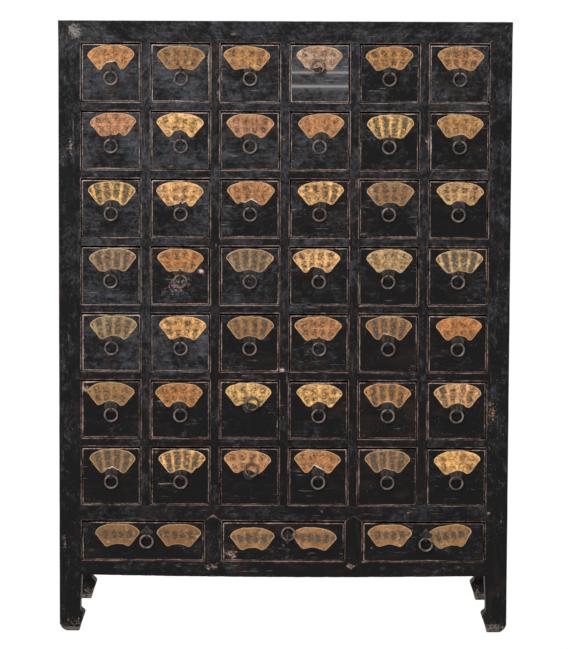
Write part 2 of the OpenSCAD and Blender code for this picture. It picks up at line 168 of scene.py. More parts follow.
def lacquer(name, line, haze_and_sheen, line_dark, line_light):
    """Worn black lacquer over a red-brown ground. line is the strength of the line worn along the
    arrises, between line_dark and line_light; the third argument is how much grey the black
    carries: partly the lacquer's bloom, partly a painted sheen of reflected light."""
    s = Shader(name)
    grain = s.attribute("grain", "Vector")
    edge = s.attribute("edge")
    wear = s.attribute("wear")
    tone = s.attribute("tone")
    cloud = s.noise(grain, 11.0, 5.0, 0.6, 0.6)
    patchiness = s.noise(s.stretch(grain, (1.0, 1.0, 1.0), (7.0, 3.0, 5.0)), 32.0, 6.0, 0.68, 1.0)
    streak = s.noise(s.stretch(grain, (6.0, 95.0, 95.0)), 1.0, 6.0, 0.66)
    fibre = s.noise(s.stretch(grain, (22.0, 420.0, 420.0)), 1.0, 3.0, 0.6)
    chips = s.noise(grain, 150.0, 5.0, 0.62)
    mottle = s.noise(s.stretch(grain, (1.0, 1.6, 1.6), (3.0, 8.0, 1.0)), 85.0, 5.0, 0.7, 0.8)
    # Painted sheen: bluish grey over the black, partly the old lacquer's bloom and partly reflected light
    # painted into the colour. tone adds to it, so it is lighter towards the top and upper left: painted light.
    bloom_and_sheen = s.total(s.times(cloud, 0.34), s.times(patchiness, 0.40), s.times(streak, 0.22),
                    s.times(mottle, 0.42), s.times(tone, 0.26))
    colour = s.blend(s.span(bloom_and_sheen, 0.775, 1.10, 0.0, haze_and_sheen), (0.0066, 0.0064, 0.0066), (0.078, 0.081, 0.092))
    warm = s.noise(s.stretch(grain, (7.0, 24.0, 24.0), (9.0, 4.0, 2.0)), 1.0, 5.0, 0.65, 0.8)
    colour = s.blend(s.span(warm, 0.50, 0.78, 0.0, 0.6), colour, (0.030, 0.018, 0.014))
    scratch_field = s.noise(s.stretch(grain, (16.0, 240.0, 240.0), (5.0, 2.0, 8.0)), 1.0, 2.0, 0.5, 0.3)
    scratch = s.times(s.span(scratch_field, 0.66, 0.73), s.span(cloud, 0.44, 0.62))
    scuff = s.times(s.span(patchiness, 0.60, 0.72), s.span(mottle, 0.46, 0.62))
    colour = s.blend(s.times(scuff, 0.40), colour, (0.125, 0.120, 0.118))
    colour = s.blend(s.times(scratch, 0.45), colour, (0.24, 0.22, 0.205))

    ragged = s.total(edge, s.times(s.math("SUBTRACT", chips, 0.5), 4.5),
                     s.times(s.math("SUBTRACT", cloud, 0.5), 9.0),
                     s.times(s.math("SUBTRACT", streak, 0.5), 3.0))
    ragged = s.math("SUBTRACT", ragged, s.times(wear, 5.0))
    ground = s.span(ragged, 1.2, 4.4, 1.0, 0.0)
    colour = s.blend(s.times(ground, 0.60 * line), colour, (0.036, 0.019, 0.016))
    pale = s.blend(s.span(patchiness, 0.38, 0.60), line_dark, line_light)
    rubbed = s.span(ragged, 0.2, 2.2, 1.0, 0.0)
    # Painted light: the rubbed line turns paler and creamier where tone is high, towards the top.
    pale = s.blend(s.span(tone, 0.35, 0.75, 0.0, 0.5 * line), pale, (0.60, 0.52, 0.45))
    colour = s.blend(s.times(rubbed, line), colour, pale)

    patchy = s.total(s.times(wear, 0.60), s.times(chips, 0.80), s.times(mottle, 0.60),
                     s.times(patchiness, 0.25))
    patch = s.span(patchy, 1.08, 1.22)
    patch_colour = s.blend(s.span(patchiness, 0.42, 0.60), (0.10, 0.048, 0.038), (0.34, 0.225, 0.185))
    # The worn patches turn grey where tone is high, towards the top, and dull grey-brown where it is lowest,
    # towards the bottom: partly painted light, carried by the tone.
    patch_colour = s.blend(s.span(tone, 0.42, 0.62, 0.0, 0.8), patch_colour, (0.17, 0.155, 0.142))
    patch_colour = s.blend(s.span(tone, 0.06, 0.17, 0.9, 0.0), patch_colour, (0.115, 0.100, 0.085))
    patch_colour = s.blend(s.span(wear, 0.68, 0.85), patch_colour, (0.60, 0.46, 0.40))
    colour = s.blend(s.times(patch, 0.85), colour, patch_colour)
    speckle = s.total(s.noise(grain, 430.0, 2.0, 0.5), s.times(wear, 0.09))
    specks = s.span(speckle, 0.71, 0.75)
    colour = s.blend(s.times(specks, s.span(cloud, 0.42, 0.62, 0.0, 0.8)), colour, (0.44, 0.41, 0.37))
    bleached = s.span(s.total(tone, s.times(mottle, 0.8)), 1.9, 2.7, 0.0, 0.85)
    colour = s.blend(bleached, colour, (0.225, 0.205, 0.185))

    bare = s.math("MAXIMUM", s.times(rubbed, line), s.times(patch, 0.8))
    gloss = s.total(0.34, s.times(patchiness, 0.20), s.times(cloud, 0.12), s.times(bare, 0.25))
    height = s.total(s.times(fibre, 0.30), s.times(streak, 0.50), s.times(chips, 0.20), s.times(mottle, 0.5),
                     s.times(bare, -0.5), s.times(scratch, -0.35))
    return s.finish(colour, gloss, height, 0.0007, Specular_IOR_Level=0.05)


def timber(name, light, dark, grime):
    s = Shader(name)
    return timber_on(s, s.attribute("grain", "Vector"), s.attribute("tone"), light, dark, grime)


def timber_on(s, grain, tone, light, dark, grime):
    """Unlacquered old boards with long grain, darker latewood lines and ingrained dirt."""
    broad = s.noise(s.stretch(grain, (1.6, 26.0, 26.0)), 1.0, 4.0, 0.55, 0.5)
    rings = s.noise(s.stretch(grain, (1.1, 46.0, 46.0), (2.0, 5.0, 1.0)), 1.0, 2.0, 0.5, 0.9)
    lines = s.span(s.math("PINGPONG", s.times(rings, 9.0), 0.5), 0.10, 0.40)
    fibre = s.noise(s.stretch(grain, (9.0, 520.0, 520.0)), 1.0, 4.0, 0.65)
    dirt = s.noise(grain, 9.0, 6.0, 0.65, 0.4)
    mixed = s.total(s.times(broad, 0.45), s.times(lines, 0.30), s.times(fibre, 0.35), s.times(tone, 0.20))
    colour = s.blend(s.span(mixed, 0.25, 0.95), light, dark)
    colour = s.blend(s.times(s.span(dirt, 0.45, 0.72), grime), colour, (0.030, 0.022, 0.016))
    gloss = s.total(0.62, s.times(fibre, 0.25))
    height = s.total(s.times(lines, -0.5), s.times(fibre, 0.5), s.times(broad, 0.4))
    return s.finish(colour, gloss, height, 0.0005, Specular_IOR_Level=0.35)


def cad_timber(name, light, dark, grime):
    """The same timber for a CAD node, whose boards run from front to back."""
    s = Shader(name)
    place = s.add("ShaderNodeTexCoord", {}).outputs["Object"]
    parts = s.add("ShaderNodeSeparateXYZ", {0: place}).outputs
    along = s.add("ShaderNodeCombineXYZ", {0: parts[1], 1: parts[0], 2: parts[2]}).outputs[0]
    tone = s.noise(s.stretch(place, (3.0, 0.1, 5.6)), 1.0, 0.0)
    return timber_on(s, along, tone, light, dark, grime)


def wrought_iron(name, dull, bright):
    """Hand-forged iron: brown-black scale, handled bright on its high places, a little rust."""
    s = Shader(name)
    grain = s.attribute("grain", "Vector")
    broad = s.noise(grain, 60.0, 4.0, 0.6)
    pits = s.noise(grain, 420.0, 5.0, 0.65)
    colour = s.blend(s.span(broad, 0.35, 0.68), dull, bright)
    colour = s.blend(s.span(pits, 0.55, 0.72, 0.0, 0.6), colour, (0.090, 0.043, 0.025))
    gloss = s.total(0.30, s.times(pits, 0.35), s.times(broad, 0.10))
    height = s.total(s.times(pits, 0.5), s.times(broad, 0.8))
    return s.finish(colour, gloss, height, 0.0004, Metallic=0.65, Specular_IOR_Level=0.5)


def paper(name):
    """Aged ochre label paper with smudges of faded ink, stains, pale scuffed edges and torn places."""
    s = Shader(name)
    sheet = s.attribute("sheet", "Vector")
    own = s.attribute("paper", "Color")
    grain = s.attribute("grain", "Vector")
    edge = s.attribute("edge")
    ink_amount = s.attribute("ink")
    torn_amount = s.attribute("torn")
    broad = s.noise(grain, 42.0, 5.0, 0.62, 0.5)
    blotch = s.noise(s.stretch(grain, (1.0, 1.0, 1.0), (3.0, 7.0, 2.0)), 105.0, 5.0, 0.66, 0.8)
    fine = s.noise(grain, 260.0, 5.0, 0.65)
    creases = s.noise(s.stretch(grain, (60.0, 60.0, 20.0), (4.0, 1.0, 7.0)), 1.0, 5.0, 0.7, 1.5)
    colour = s.blend(s.span(broad, 0.38, 0.62, 0.0, 0.60), own, (0.19, 0.085, 0.032))
    colour = s.blend(s.span(blotch, 0.46, 0.60, 0.0, 0.70), colour, (0.13, 0.060, 0.025))
    colour = s.blend(s.span(creases, 0.55, 0.68, 0.0, 0.50), colour, (0.62, 0.41, 0.21))
    colour = s.blend(s.span(fine, 0.54, 0.74, 0.0, 0.5), colour, (0.12, 0.062, 0.030))
    rim = s.total(edge, s.times(s.math("SUBTRACT", fine, 0.5), 3.0))
    colour = s.blend(s.span(rim, 0.5, 2.6, 0.55, 0.0), colour, (0.56, 0.40, 0.22))

    smudge = s.noise(s.stretch(sheet, (0.75, 1.0, 1.0)), 0.9, 4.0, 0.6, 0.5)
    dab = s.span(smudge, 0.44, 0.56)
    column = s.attribute("column")
    ink = s.math("MULTIPLY", s.times(dab, column), s.total(0.45, s.times(ink_amount, 1.3)), True)
    ink = s.times(ink, s.span(broad, 0.28, 0.50, 0.6, 1.0))
    colour = s.blend(s.times(ink, 0.92), colour, (0.026, 0.023, 0.020))
    wash = s.times(s.times(column, s.times(ink_amount, ink_amount)), s.span(blotch, 0.34, 0.60, 0.50, 0.95))
    colour = s.blend(wash, colour, (0.066, 0.060, 0.048))

    frayed = s.total(torn_amount, s.times(creases, 0.6), s.times(fine, 0.30))
    ripped = s.span(frayed, 1.00, 1.05)
    colour = s.blend(s.span(frayed, 0.80, 0.90, 0.0, 0.85), colour, (0.66, 0.55, 0.45))
    colour = s.blend(ripped, colour, (0.018, 0.016, 0.016))
    height = s.total(s.times(creases, 0.8), s.times(fine, 0.5), s.times(ripped, -0.8))
    return s.finish(colour, s.total(0.62, s.times(fine, 0.2)), height, 0.00035, Specular_IOR_Level=0.12)


CASE_LACQUER = lacquer("case_lacquer", 0.62, 0.85, (0.12, 0.056, 0.042), (0.34, 0.215, 0.175))
DRAWER_LACQUER = lacquer("drawer_lacquer", 0.80, 0.85, (0.19, 0.108, 0.085), (0.48, 0.375, 0.325))
BARE_WOOD = timber("bare_wood", (0.46, 0.31, 0.18), (0.24, 0.135, 0.070), 0.55)
DARK_WOOD = timber("dark_wood", (0.165, 0.100, 0.060), (0.060, 0.034, 0.021), 0.6)
INNER_WOOD = cad_timber("inner_wood", (0.36, 0.24, 0.145), (0.18, 0.105, 0.060), 0.6)
IRON = wrought_iron("ring_iron", (0.055, 0.040, 0.035), (0.215, 0.160, 0.132))
DARK_IRON = wrought_iron("plate_iron", (0.011, 0.010, 0.010), (0.048, 0.040, 0.036))
PAPER = paper("label_paper")

# ---------- mesh building ----------
# Where the front of the case is worn or chipped: x, z, the two radii in millimetres, and how badly.
# A board is worn by them as far back as WORN_DEPTH.
WORN_DEPTH = 30
WORN_SPOTS = [
    (-189, 176, 20, 11, 0.64), (178, 180, 17, 10, 0.62), (101, 327, 9, 5, 0.62), (149, 330, 7, 5, 0.58),
    (338, 326, 14, 5, 0.58), (550, 326, 9, 6, 0.52), (-298, 327, 7, 5, 0.58), (-186, 318, 11, 9, 0.50),
    (-588, 240, 10, 36, 0.54), (585, 300, 12, 50, 0.36), (555, 600, 20, 62, 0.48),
    (-140, 213, 26, 20, 0.62), (234, 234, 10, 7, 0.60), (-556, 1605, 26, 28, 0.66),
    (560, 1600, 40, 20, 0.30), (-569, 1300, 13, 36, 0.58), (-206, 1529, 12, 28, 0.50),
    (-334, 1527, 8, 11, 0.44), (-311, 1617, 15, 6, 0.55), (-242, 1625, 11, 5, 0.55),
    (-138, 1598, 19, 7, 0.58), (-179, 1478, 9, 13, 0.60), (-181, 1438, 9, 24, 0.50),
    (-5, 1327, 7, 8, 0.80), (374, 1314, 9, 26, 0.48), (482, 1400, 17, 6, 0.55),
    (190, 1205, 10, 22, 0.46), (-5, 709, 13, 8, 0.85), (-5, 612, 8, 12, 0.50), (-181, 1042, 7, 6, 0.70),
    (-276, 936, 46, 38, 0.52), (-221, 971, 14, 9, 0.92), (-527, 657, 10, 16, 0.74),
    (-343, 486, 11, 8, 0.60), (-560, 8, 60, 9, 0.70), (560, 14, 60, 16, 0.62), (-590, 60, 10, 60, 0.35),
]
OPENINGS = [(small_x(c), small_x(c) + SMALL_W, row_z(r), row_z(r) + SMALL_H)
            for r in range(1, ROWS + 1) for c in range(1, COLUMNS + 1)]
OPENINGS += [(wide_x(i), wide_x(i) + WIDE_W, WIDE_Z, WIDE_Z + WIDE_H) for i in range(1, WIDES + 1)]


def from_openings(p):
    """How far each point is from the nearest arris of a drawer opening, in millimetres."""
    best = np.full(len(p), 1000.0)
    for x0, x1, z0, z1 in OPENINGS:
        dx = np.maximum(np.maximum(x0 - p[:, 0], p[:, 0] - x1), 0)
        dz = np.maximum(np.maximum(z0 - p[:, 2], p[:, 2] - z1), 0)
        best = np.minimum(best, np.hypot(dx, dz))
    return np.hypot(best, np.maximum(p[:, 1] - FRONT_Y - FRONT_RECESS, 0))


def spot_wear(p):
    """How badly each point is worn by the spots, from 0 to about 1."""
    worn = np.zeros(len(p))
    for x, z, reach_x, reach_z, amount in WORN_SPOTS:
        away = np.hypot((p[:, 0] - x) / reach_x, (p[:, 2] - z) / reach_z)
        worn = np.maximum(worn, amount * np.clip(1.3 - away, 0, 1))
    return worn


def ripple(points, wavelength, seed):
    """Smooth made-up unevenness between about -1 and 1, the same on every run."""
    rng = np.random.default_rng(seed)
    value = np.zeros(len(points))
    for _ in range(6):
        way = rng.normal(size=3)
        way *= 2 * math.pi / (wavelength * rng.uniform(0.7, 1.6) * np.linalg.norm(way))
        value += np.sin(points @ way + rng.uniform(0, 2 * math.pi))
    return value / 2.6


def lines(half, r, step):
    """Grid positions from -half to half, close together at the rounded ends."""
    near = [0.0, 0.3 * r, 0.62 * r, r, r + 0.6]
    if half > r + 6:
        near.append(r + 3.0)
    inner = half - near[-1]
    count = max(1, round(2 * inner / step))
    middle = [-inner + 2 * inner * i / count for i in range(count + 1)]
    ends = [half - n for n in near[:-1]]
    return np.array([-e for e in ends] + middle + list(reversed(ends)))


def shell(xs, ys, zs):
    """Index triples and quads of the closed surface of a lattice, and each quad's face, from 0 to 5."""
    size = (len(xs), len(ys), len(zs))
    index, triples, quads, sides = {}, [], [], []

    def vertex(t):
        if t not in index:
            index[t] = len(triples)
            triples.append(t)
        return index[t]

    for axis in range(3):
        a, b = (axis + 1) % 3, (axis + 2) % 3
        for end in (0, 1):
            for i in range(size[a] - 1):
                for j in range(size[b] - 1):
                    quad = []
                    for di, dj in ((0, 0), (1, 0), (1, 1), (0, 1)):
                        t = [0, 0, 0]
                        t[axis] = end * (size[axis] - 1)
                        t[a], t[b] = i + di, j + dj
                        quad.append(vertex(tuple(t)))
                    quads.append(quad if end else quad[::-1])
                    sides.append(axis * 2 + end)
    return np.array(triples), quads, sides


class Build:
    """Collects boards, lofts and sheets into one mesh, with the attributes that its material reads."""

    def __init__(self):
        self.points, self.faces, self.slots = [], [], []
        self.count = 0
        self.data = {"grain": [], "edge": [], "wear": [], "tone": []}

    def add(self, points, faces, slots, **data):
        self.points.append(points)
        self.faces += [[v + self.count for v in f] for f in faces]
        self.slots += slots
        for key, value in data.items():
            self.data.setdefault(key, []).append(value)
        self.count += len(points)

    def board(self, low, high, axis, seed, r=1.2, step=12.0, uneven=0.12, warp=None, inside=(),
              tone=None, spare=3.0, face=False):
        """A board with rounded arrises. axis is the way its grain runs, inside the faces that get the
        second material, spare how many millimetres of lacquer its own arrises have kept. tone is a
        number or a function of the points; left out, it is a little random and rises with height, a
        painted light that makes the black lacquer lighter towards the top. face marks a board of the
        case's front, where the arrises of the openings are rubbed."""
        rng = random.Random(seed)
        low, high = np.array(low, float), np.array(high, float)
        half, centre = (high - low) / 2, (high + low) / 2
        r = min(r, 0.45 * half.min() * 2)
        xs, ys, zs = (lines(half[k], r, step) for k in range(3))
        triples, quads, sides = shell(xs, ys, zs)
        p = np.stack([xs[triples[:, 0]], ys[triples[:, 1]], zs[triples[:, 2]]], axis=1)
        edge = np.sort(half - np.abs(p), axis=1)[:, 1]
        core = np.clip(p, -(half - r), half - r)
        out = p - core
        out /= np.maximum(np.linalg.norm(out, axis=1), 1e-9)[:, None]
        world = core + centre
        rubbed = np.clip(1.0 - edge / 4.0, 0, 1) * np.clip(ripple(world, 26.0, seed + 7), 0, 1)
        p = world + out * (r + uneven * ripple(world, 55.0, seed) - 0.35 * rubbed * min(r, 1.6))[:, None]
        order = [axis, (axis + 1) % 3, (axis + 2) % 3]
        shift = np.array([rng.uniform(0, 9), rng.uniform(0, 9), rng.uniform(0, 9)])
        grain = p[:, order] * MM + shift
        if warp is not None:
            p = warp(p)
        edge = edge + spare
        if face:
            edge = np.minimum(edge, from_openings(p))
        worn = spot_wear(p) * (p[:, 1] < FRONT_Y + WORN_DEPTH)
        # Painted light: the default tone rises with height, lighter towards the top.
        if tone is None:
            tone_with_light = rng.random() * 0.2 + 0.15 + 0.55 * p[:, 2] / CASE_H
        elif callable(tone):
            tone_with_light = tone(p)
        else:
            tone_with_light = np.full(len(p), tone)
        slots = [1 if side in inside else 0 for side in sides]
        self.add(p, quads, slots, grain=grain, edge=edge, wear=worn, tone=tone_with_light)

    def piece(self, name, materials, body, replaces=(), place=None):
        points = np.concatenate(self.points)
        if place is not None:
            turn = np.array(place.to_3x3())
            points = points @ turn.T + np.array(place.translation)
        mesh = bpy.data.meshes.new(name)
        mesh.from_pydata((points * MM).tolist(), [], self.faces)
        for key, values in self.data.items():
            if not values:
                continue
            joined = np.concatenate(values)
            kind = {1: "FLOAT", 3: "FLOAT_VECTOR", 4: "FLOAT_COLOR"}[1 if joined.ndim == 1 else joined.shape[1]]
            layer = mesh.attributes.new(key, kind, "POINT")
            field = {"FLOAT": "value", "FLOAT_VECTOR": "vector", "FLOAT_COLOR": "color"}[kind]
            layer.data.foreach_set(field, joined.astype(np.float32).ravel())
        for material in materials:
            mesh.materials.append(material)
        mesh.polygons.foreach_set("use_smooth", [True] * len(self.faces))
        mesh.polygons.foreach_set("material_index", self.slots)
        mesh.update()
        obj = bpy.data.objects.new(name, mesh)
        bpy.context.scene.collection.objects.link(obj)
        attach(obj, body)
        if replaces:
            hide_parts(*replaces)

    def lacquered(self, name, *replaces):
        """Ends a black piece of the case."""
        self.piece(name, [CASE_LACQUER], "case", replaces)


def loft(rings, closed_path=False, closed_ring=True, caps=True):
    """Quads that join rings of equal length, with the two ends closed by one face each."""
    n, faces = len(rings[0]), []
    for i in range(len(rings) if closed_path else len(rings) - 1):
        a, b = i * n, ((i + 1) % len(rings)) * n
        for j in range(n if closed_ring else n - 1):
            k = (j + 1) % n
            faces.append([a + j, a + k, b + k, b + j])
    if caps and not closed_path:
        faces.append(list(range(n))[::-1])
        faces.append([(len(rings) - 1) * n + j for j in range(n)])
    return faces


# ---------- case ----------
# How far a post's inner and outer faces are from its outer line at each height: the hoof, the leg
# and the mitre at the top.
INNER_PROFILE = [(0, 52), (8, 54.2), (16, 56.2), (26, 59.8), (36, 63.4), (42, 65.4), (46, 66), (49, 65.2),
                 (51.5, 63.6), (54.5, 60.0), (58, 56.6), (64, 55.8), (80, 56.2), (110, 57.8),
                 (LEG_CLEAR, POST_W), (TOP_Z, POST_W), (CASE_H - 0.5, 0.8)]
OUTER_PROFILE = [(0, 15), (4, 9.5), (9, 5.5), (15, 2.4), (21, 0), (CASE_H, 0)]


def post_section():
    """Points round a post's section as shares of its width, each with the millimetres it keeps."""
    corners = [((0, 0), POST_ROUND), ((1, 0), 2.0), ((1, 1), 2.0), ((0, 1), 2.0)]
    points = []
    for k, ((u, v), r) in enumerate(corners):
        centre = (r if u == 0 else -r, r if v == 0 else -r)
        start = math.pi + k * math.pi / 2
        for i in range(6):
            a = start + i * math.pi / 10
            points.append((u, v, centre[0] + r * math.cos(a), centre[1] + r * math.sin(a)))
        (u2, v2), r2 = corners[(k + 1) % 4]
        for share in (0.06, 0.14, 0.32, 0.5, 0.68, 0.86, 0.94):
            s = r / POST_W + share * (1 - (r + r2) / POST_W)
            points.append((u + (u2 - u) * s, v + (v2 - v) * s, 0.0, 0.0))
    return points


def post(build, side, at_back, seed):
    """One corner post, from the floor to its mitre. side is -1 on the left and 1 on the right."""
    levels = [0, 3, 6, 10, 15, 21, 28, 36, 41, 44, 46, 48, 50, 52, 54, 56, 58, 61, 66, 74, 86, 100, 118, 136,
              LEG_CLEAR]
    z = LEG_CLEAR
    while z < TOP_Z - 14:
        z += 12.0
        levels.append(z)
    levels += [TOP_Z + rise for rise in (-4, 0, 6, 14, 24, 34, 44, 52)] + [CASE_H - 2]
    section = post_section()
    rings, edges = [], []
    for z in levels:
        inner = float(np.interp(z, *zip(*INNER_PROFILE)))
        outer = float(np.interp(z, *zip(*OUTER_PROFILE)))
        width = max(inner - outer, 1.0)
        keep = min(1.0, width / 24.0)
        ring, edge = [], []
        for u, v, du, dv in section:
            x, y = outer + u * width + du * keep, outer + v * width + dv * keep
            ring.append((x, y, z))
            near_u, near_v = min(x - outer, inner - x), min(y - outer, inner - y)
            edge.append(max(near_u, near_v))
        rings.append(ring)
        edges += edge
    points = np.array([p for ring in rings for p in ring], float)
    edges = np.array(edges)
    faces = loft(rings)
    points += 0.15 * ripple(points, 90.0, seed)[:, None] * np.array([0.7, 0.7, 0.0])
    x = side * (CASE_W / 2 - points[:, 0])
    y = BACK_Y - points[:, 1] if at_back else FRONT_Y + points[:, 1]
    points = np.stack([x, y, points[:, 2]], axis=1)
    if (side < 0) == at_back:
        faces = [f[::-1] for f in faces]
    worn = 0.60 * np.clip(1 - points[:, 2] / 60.0, 0, 1) ** 0.7
    worn = np.maximum(worn, spot_wear(points))
    grain = points[:, [2, 0, 1]] * MM + seed * 1.7
    edges = np.minimum(edges + 2.2, from_openings(points)) if not at_back else edges + 2.2
    # tone rises with height, a painted light that is lighter towards the top; in the lowest 80 mm it drops,
    # darker towards the floor.
    build.add(points, faces, [0] * len(faces), grain=grain, edge=edges, wear=worn,
              tone=0.2 + 0.45 * points[:, 2] / CASE_H - 0.2 * np.clip(1 - points[:, 2] / 80.0, 0, 1))


for label, at_back in (("front", False), ("back", True)):
    for side, way in ((-1, "left"), (1, "right")):
        b = Build()
        post(b, side, at_back, 11 + side + 5 * at_back)
        b.lacquered(f"{label}_post_{way}", f"{label}_posts")


def mitre_across(p):
    """Cuts the ends of a top rail that runs from left to right back to its mitres."""
    depth = np.minimum(p[:, 1] - FRONT_Y, BACK_Y - p[:, 1])
    cut = np.maximum(POST_W * (CASE_H - p[:, 2]) / TOP_RAIL_H, depth).clip(0, POST_W)
    q = p.copy()
    q[:, 0] = p[:, 0] * (CASE_W / 2 - cut) / (CASE_W / 2)
    return q


def mitre_along(p):
    """The same for a top rail that runs from front to back."""
    side = CASE_W / 2 - np.abs(p[:, 0])
    cut = np.maximum(POST_W * (CASE_H - p[:, 2]) / TOP_RAIL_H, side).clip(0, POST_W)
    q = p.copy()
    middle, half = (FRONT_Y + BACK_Y) / 2, CASE_D / 2
    q[:, 1] = middle + (p[:, 1] - middle) * (half - cut) / half
    return q


def pointed(low, high):
    """Gives a long rail its pointed shoulders and, where low is the bottom rail, its sag."""
    def warp(p):
        q = p.copy()
        share = 1 - np.abs(p[:, 2] - (low + high) / 2) / ((high - low) / 2)
        q[:, 0] = p[:, 0] * (EDGE_X + SHOULDER_L * share.clip(0, 1)) / EDGE_X
        if low == LEG_CLEAR:
            sag = RAIL_SAG * (1 - (p[:, 0] / EDGE_X) ** 2)
            q[:, 2] = p[:, 2] - sag * (high - p[:, 2]) / (high - low)
        return q
    return warp


# How far a front rail stands proud of the posts, so that its pointed shoulders show.
PROUD = 0.35
b = Build()
b.board((-CASE_W / 2, FRONT_Y, TOP_Z), (CASE_W / 2, FRONT_Y + POST_W, CASE_H), 0, 31, r=1.6, step=6.0,
        tone=0.61, warp=mitre_across, face=True)
b.lacquered("top_rail_front", "front_rails")
for label, z0, z1, seed, r in (("middle", MIDDLE_Z, SMALL_Z, 32, 1.4), ("bottom", LEG_CLEAR, WIDE_Z, 33, 1.6)):
    b = Build()
    b.board((-EDGE_X, FRONT_Y - PROUD, z0), (EDGE_X, FRONT_Y + RAIL_T, z1), 0, seed, r=r, step=5.0,
            face=True, warp=pointed(z0, z1))
    b.lacquered(f"{label}_rail_front")

for side, way in ((-1, "left"), (1, "right")):
    b = Build()
    xs = sorted((side * CASE_W / 2, side * (CASE_W / 2 - POST_W)))
    b.board((xs[0], FRONT_Y, TOP_Z), (xs[1], BACK_Y, CASE_H), 1, 40 + side, r=1.6, warp=mitre_along)
    b.lacquered(f"top_rail_{way}", "side_rails")
    for label, z, h in (("bottom", LEG_CLEAR, BOTTOM_RAIL_H), ("middle", MIDDLE_Z, MIDDLE_RAIL_H)):
        b = Build()
        outer = CASE_W / 2 - SIDE_RAIL_INSET
        xs = sorted((side * outer, side * (outer - RAIL_T)))
        b.board((xs[0], FRONT_Y + POST_W, z), (xs[1], BACK_Y - POST_W, z + h), 1, 44 + side, r=1.5)
        b.lacquered(f"{label}_rail_{way}")
    for label, z0, z1 in (("lower", WIDE_Z, MIDDLE_Z), ("upper", SMALL_Z, TOP_Z)):
        b = Build()
        xs = sorted((side * (CASE_W / 2 - PANEL_INSET), side * (CASE_W / 2 - PANEL_INSET - PANEL_T)))
        y0, y1 = FRONT_Y + POST_W, BACK_Y - POST_W
        cuts = [y0, y0 + 0.36 * (y1 - y0), y0 + 0.70 * (y1 - y0), y1]
        for k in range(3):
            b.board((xs[0], cuts[k], z0), (xs[1], cuts[k + 1], z1), 2, 60 + 5 * k + side, r=0.6, step=20.0,
                    tone=0.3)
        b.lacquered(f"{label}_panel_{way}", "side_panels")

b = Build()
panel_top = CASE_H - TOP_PANEL_DROP
y0, y1 = FRONT_Y + POST_W, BACK_Y - POST_W
for k in range(3):
    b.board((-EDGE_X, y0 + k * (y1 - y0) / 3, panel_top - PANEL_T),
            (EDGE_X, y0 + (k + 1) * (y1 - y0) / 3, panel_top), 0, 70 + k, r=0.6, step=20.0)
b.lacquered("top_boards", "top_panel")
b = Build()
batten_top = panel_top - PANEL_T - GLUE
for k in (-1, 0, 1):
    b.board((k * INNER_W / 3 - BATTEN_W / 2, y0, batten_top - BATTEN_T),
            (k * INNER_W / 3 + BATTEN_W / 2, y1, batten_top), 1, 75 + k, step=30.0)
b.piece("top_battens", [BARE_WOOD], "case")

b = Build()
b.board((-CASE_W / 2, BACK_Y - POST_W, TOP_Z), (CASE_W / 2, BACK_Y, CASE_H), 0, 80, r=1.6, warp=mitre_across)
b.lacquered("top_rail_back", "back_frame")
for k, z in enumerate((LEG_CLEAR, MIDDLE_Z)):
    b = Build()
    b.board((-EDGE_X, BACK_FRAME_Y, z), (EDGE_X, BACK_FRAME_Y + RAIL_T, z + BOTTOM_RAIL_H), 0, 81 + k, r=1.5)
    b.piece(("bottom_rail_back", "middle_rail_back")[k], [DARK_WOOD], "case")
b = Build()
for c in range(2, COLUMNS + 1):
    x = small_x(c) - STILE_W / 2
    b.board((x - STILE_W / 2, RUNNER_BACK_Y, LEG_CLEAR), (x + STILE_W / 2, BACK_FRAME_Y - GLUE, TOP_Z - GLUE),
            2, 85 + c, step=40.0)
b.piece("inner_back_stiles", [DARK_WOOD], "case")
back_y = BACK_FRAME_Y + RAIL_T - PANEL_T - BACK_PANEL_SET
for label, z0, z1 in (("lower", WIDE_Z, MIDDLE_Z), ("upper", MIDDLE_Z + BOTTOM_RAIL_H, TOP_Z)):
    b = Build()
    for k in range(6):
        x0 = -EDGE_X + k * INNER_W / 6
        b.board((x0 + 0.4, back_y, z0), (x0 + INNER_W / 6 - 0.4, back_y + PANEL_T, z1), 2, 95 + k, r=0.8,
                step=22.0)
    b.piece(f"{label}_back_boards", [DARK_WOOD], "case", ["back_panels"])

for c in range(2, COLUMNS + 1):
    b = Build()
    b.board((small_x(c) - STILE_W, FRONT_Y - 0.1, SMALL_Z), (small_x(c), FRONT_Y + RAIL_T, TOP_Z), 2, 110 + c,
            r=1.6, step=6.0, face=True)
    b.lacquered(f"stile_{c - 1}", "front_stiles")


def stile_warp(x, low, high):
    """Points both ends of a wide stile into the rails over and under it."""
    def warp(p):
        q = p.copy()
        share = (1 - np.abs(p[:, 0] - x) / (WIDE_STILE_W / 2)).clip(0, 1)
        ends = (p[:, 2] - (low + high) / 2) / ((high - low) / 2)
        q[:, 2] = p[:, 2] + SHOULDER_L * share * np.sign(ends) * np.abs(ends) ** 6
        return q
    return warp


for i in range(2, WIDES + 1):
    x = wide_x(i) - WIDE_STILE_W / 2
    b = Build()
    b.board((x - WIDE_STILE_W / 2, FRONT_Y - 2 * PROUD, WIDE_Z),
            (x + WIDE_STILE_W / 2, FRONT_Y + RAIL_T, MIDDLE_Z), 2, 120 + i, r=1.5, step=6.0, spare=1.0,
            face=True, warp=stile_warp(x, WIDE_Z, MIDDLE_Z))
    b.lacquered(f"wide_stile_{i - 1}")

for r in range(1, ROWS):
    b = Build()
    for c in range(1, COLUMNS + 1):
        b.board((small_x(c), FRONT_Y + 0.1, row_z(r) - SHORT_RAIL_H),
                (small_x(c) + SMALL_W, FRONT_Y + RAIL_T, row_z(r)), 0, 130 + 7 * r + c, r=1.6, step=9.0,
                face=True)
    b.lacquered(f"short_rails_{r}", "short_rails")

